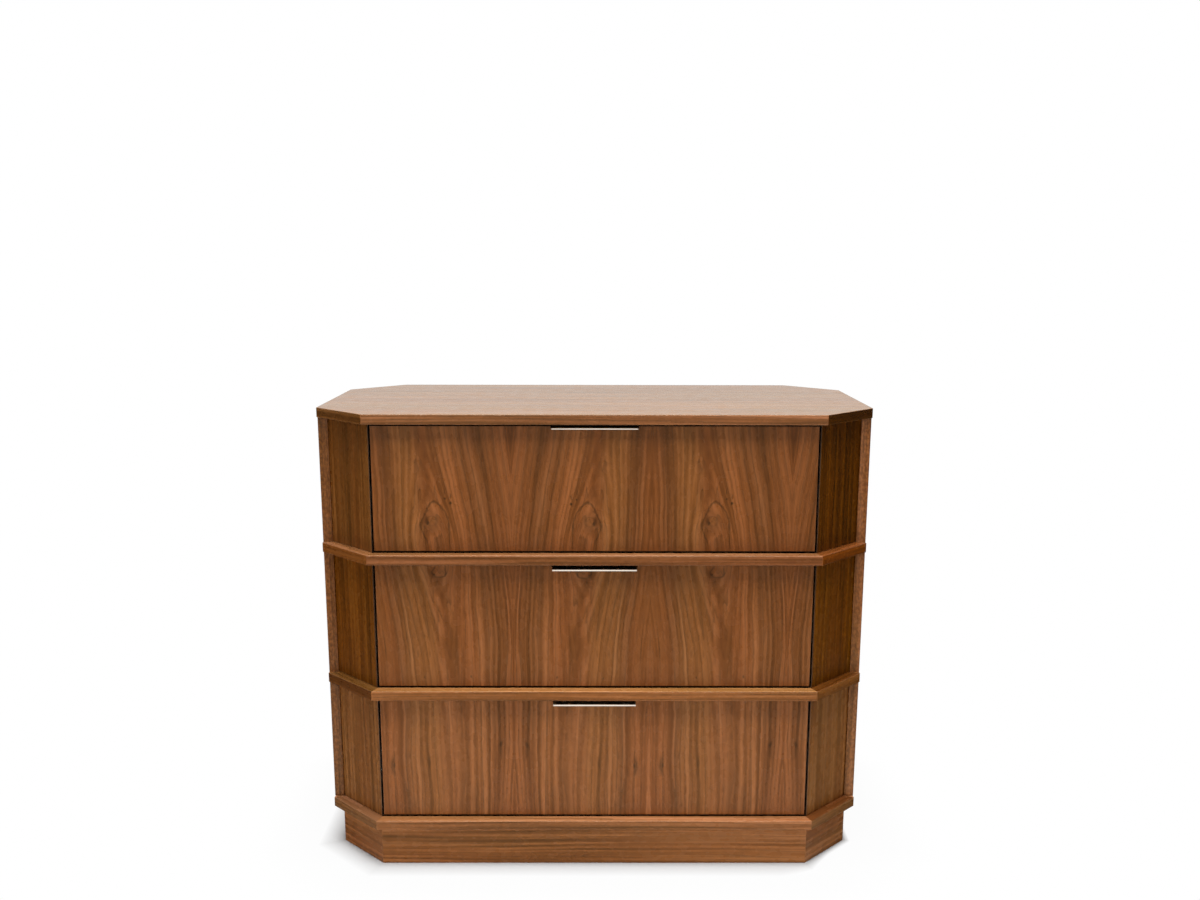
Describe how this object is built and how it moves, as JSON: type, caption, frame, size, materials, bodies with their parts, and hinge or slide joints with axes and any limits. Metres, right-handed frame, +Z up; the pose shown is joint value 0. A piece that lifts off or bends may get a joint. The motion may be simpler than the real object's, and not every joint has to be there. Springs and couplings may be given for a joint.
{
  "type": "dresser",
  "caption": "Walnut-veneered chest of drawers with canted corners, overhanging ledges between the drawers, slim metal edge pulls and a recessed plinth.",
  "frame": {"origin": "middle of the footprint, on the floor", "axes": "+Z up, +X to the right as seen from the front, the drawers open towards -Y"},
  "size_m": [1.016, 0.508, 0.859],
  "materials": {
    "walnut_veneer": "satin lacquered walnut veneer, vertical grain",
    "walnut_edge": "satin lacquered walnut with walnut edge banding, grain along the board",
    "drawer_maple": "clear lacquered pale hardwood",
    "drawer_plywood": "clear lacquered birch plywood",
    "slide_steel": "bright zinc plated steel",
    "pull_metal": "warm satin nickel"
  },
  "bodies": {
    "cabinet": {"top_board": "walnut_edge", "upper_divider": "walnut_edge", "lower_divider": "walnut_edge", "bottom_board": "walnut_edge", "left_side_panel": "walnut_veneer", "right_side_panel": "walnut_veneer", "left_canted_panel_lower": "walnut_veneer", "left_canted_panel_middle": "walnut_veneer", "left_canted_panel_upper": "walnut_veneer", "right_canted_panel_lower": "walnut_veneer", "right_canted_panel_middle": "walnut_veneer", "right_canted_panel_upper": "walnut_veneer", "left_partition": "walnut_veneer", "right_partition": "walnut_veneer", "left_rear_canted_panel": "walnut_veneer", "right_rear_canted_panel": "walnut_veneer", "back_panel": "walnut_veneer", "plinth_front": "walnut_edge", "plinth_right": "walnut_edge", "plinth_back": "walnut_edge", "plinth_left": "walnut_edge", "lower_cabinet_slide_left": "slide_steel", "lower_cabinet_slide_right": "slide_steel", "middle_cabinet_slide_left": "slide_steel", "middle_cabinet_slide_right": "slide_steel", "upper_cabinet_slide_left": "slide_steel", "upper_cabinet_slide_right": "slide_steel"},
    "lower_slide_carriage": {"lower_intermediate_slide_left": "slide_steel", "lower_intermediate_slide_right": "slide_steel"},
    "middle_slide_carriage": {"middle_intermediate_slide_left": "slide_steel", "middle_intermediate_slide_right": "slide_steel"},
    "upper_slide_carriage": {"upper_intermediate_slide_left": "slide_steel", "upper_intermediate_slide_right": "slide_steel"},
    "lower_drawer": {"lower_drawer_front": "walnut_veneer", "lower_pull": "pull_metal", "lower_drawer_box_front": "drawer_maple", "lower_drawer_box_back": "drawer_maple", "lower_drawer_left_side": "drawer_maple", "lower_drawer_right_side": "drawer_maple", "lower_drawer_bottom": "drawer_plywood", "lower_drawer_slide_left": "slide_steel", "lower_drawer_slide_right": "slide_steel"},
    "middle_drawer": {"middle_drawer_front": "walnut_veneer", "middle_pull": "pull_metal", "middle_drawer_box_front": "drawer_maple", "middle_drawer_box_back": "drawer_maple", "middle_drawer_left_side": "drawer_maple", "middle_drawer_right_side": "drawer_maple", "middle_drawer_bottom": "drawer_plywood", "middle_drawer_slide_left": "slide_steel", "middle_drawer_slide_right": "slide_steel"},
    "upper_drawer": {"upper_drawer_front": "walnut_veneer", "upper_pull": "pull_metal", "upper_drawer_box_front": "drawer_maple", "upper_drawer_box_back": "drawer_maple", "upper_drawer_left_side": "drawer_maple", "upper_drawer_right_side": "drawer_maple", "upper_drawer_bottom": "drawer_plywood", "upper_drawer_slide_left": "slide_steel", "upper_drawer_slide_right": "slide_steel"}
  },
  "joints": [
    {"name": "lower_drawer_travel", "type": "slide", "parent": "cabinet", "child": "lower_drawer", "axis": [0, -1, 0], "range_m": [0, 0.4]},
    {"name": "middle_drawer_travel", "type": "slide", "parent": "cabinet", "child": "middle_drawer", "axis": [0, -1, 0], "range_m": [0, 0.4]},
    {"name": "upper_drawer_travel", "type": "slide", "parent": "cabinet", "child": "upper_drawer", "axis": [0, -1, 0], "range_m": [0, 0.4]},
    {"name": "lower_carriage_travel", "type": "slide", "parent": "cabinet", "child": "lower_slide_carriage", "axis": [0, -1, 0], "range_m": [0, 0.2]},
    {"name": "middle_carriage_travel", "type": "slide", "parent": "cabinet", "child": "middle_slide_carriage", "axis": [0, -1, 0], "range_m": [0, 0.2]},
    {"name": "upper_carriage_travel", "type": "slide", "parent": "cabinet", "child": "upper_slide_carriage", "axis": [0, -1, 0], "range_m": [0, 0.2]}
  ],
  "couplings": [
    {"joint": "lower_carriage_travel", "follows": "lower_drawer_travel", "ratio": 0.5},
    {"joint": "middle_carriage_travel", "follows": "middle_drawer_travel", "ratio": 0.5},
    {"joint": "upper_carriage_travel", "follows": "upper_drawer_travel", "ratio": 0.5}
  ]
}
